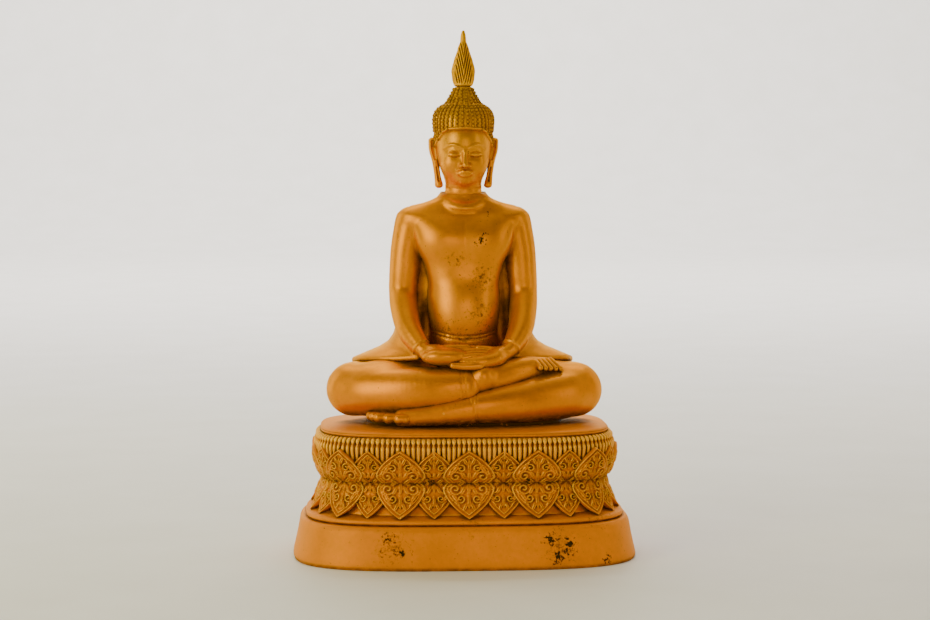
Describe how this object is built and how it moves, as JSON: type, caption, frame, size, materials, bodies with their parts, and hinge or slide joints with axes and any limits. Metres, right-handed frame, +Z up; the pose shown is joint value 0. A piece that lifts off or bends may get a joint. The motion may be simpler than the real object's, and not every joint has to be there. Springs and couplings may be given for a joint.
{
  "type": "buddha statue",
  "caption": "Seated meditating buddha figure on a double lotus throne and flared plinth, cast in pieces; the figure lifts off its pegs and the flame finial lifts off the head",
  "frame": {"origin": "centre of the plinth's underside, on the surface that the statue stands on", "axes": "+Z up, the figure faces -Y, +X towards the figure's own left"},
  "size_m": [0.158, 0.106, 0.2412],
  "materials": {
    "gold_paint_body": "satin gold paint over a black undercoat that shows in chips and hollows",
    "gold_paint_base": "satin orange-gold paint over a black undercoat, duller than the figure",
    "dark_undercoat": "matt black undercoat left bare",
    "fasteners": "plain steel",
    "brass_pins": "turned brass"
  },
  "bodies": {
    "base": {"plinth": "gold_paint_base", "step_plate": "gold_paint_base", "lower_lotus": "gold_paint_base", "upper_lotus": "gold_paint_base", "seat_slab": "gold_paint_base", "base_cover": "dark_undercoat", "cover_screws": "fasteners", "tie_bolts": "fasteners", "tie_washers": "fasteners"},
    "figure": {"foot_plate": "dark_undercoat", "seat_pegs": "brass_pins", "torso": "gold_paint_body", "robe_back": "gold_paint_body", "right_leg": "gold_paint_body", "left_leg": "gold_paint_body", "right_foot": "gold_paint_body", "left_foot": "gold_paint_body", "ankle_pins": "brass_pins", "right_arm": "gold_paint_body", "left_arm": "gold_paint_body", "shoulder_pins": "brass_pins", "right_hand": "gold_paint_body", "left_hand": "gold_paint_body", "wrist_pins": "brass_pins", "head": "gold_paint_body", "right_ear": "gold_paint_body", "left_ear": "gold_paint_body", "neck_dowel": "brass_pins"},
    "flame": {"flame_finial": "gold_paint_body", "flame_peg": "brass_pins"}
  },
  "joints": [
    {"name": "figure_lift", "type": "slide", "parent": "base", "child": "figure", "axis": [0, 0, 1], "range_m": [0, 0.03]},
    {"name": "flame_lift", "type": "slide", "parent": "figure", "child": "flame", "axis": [0, 0, 1], "range_m": [0, 0.03]}
  ]
}
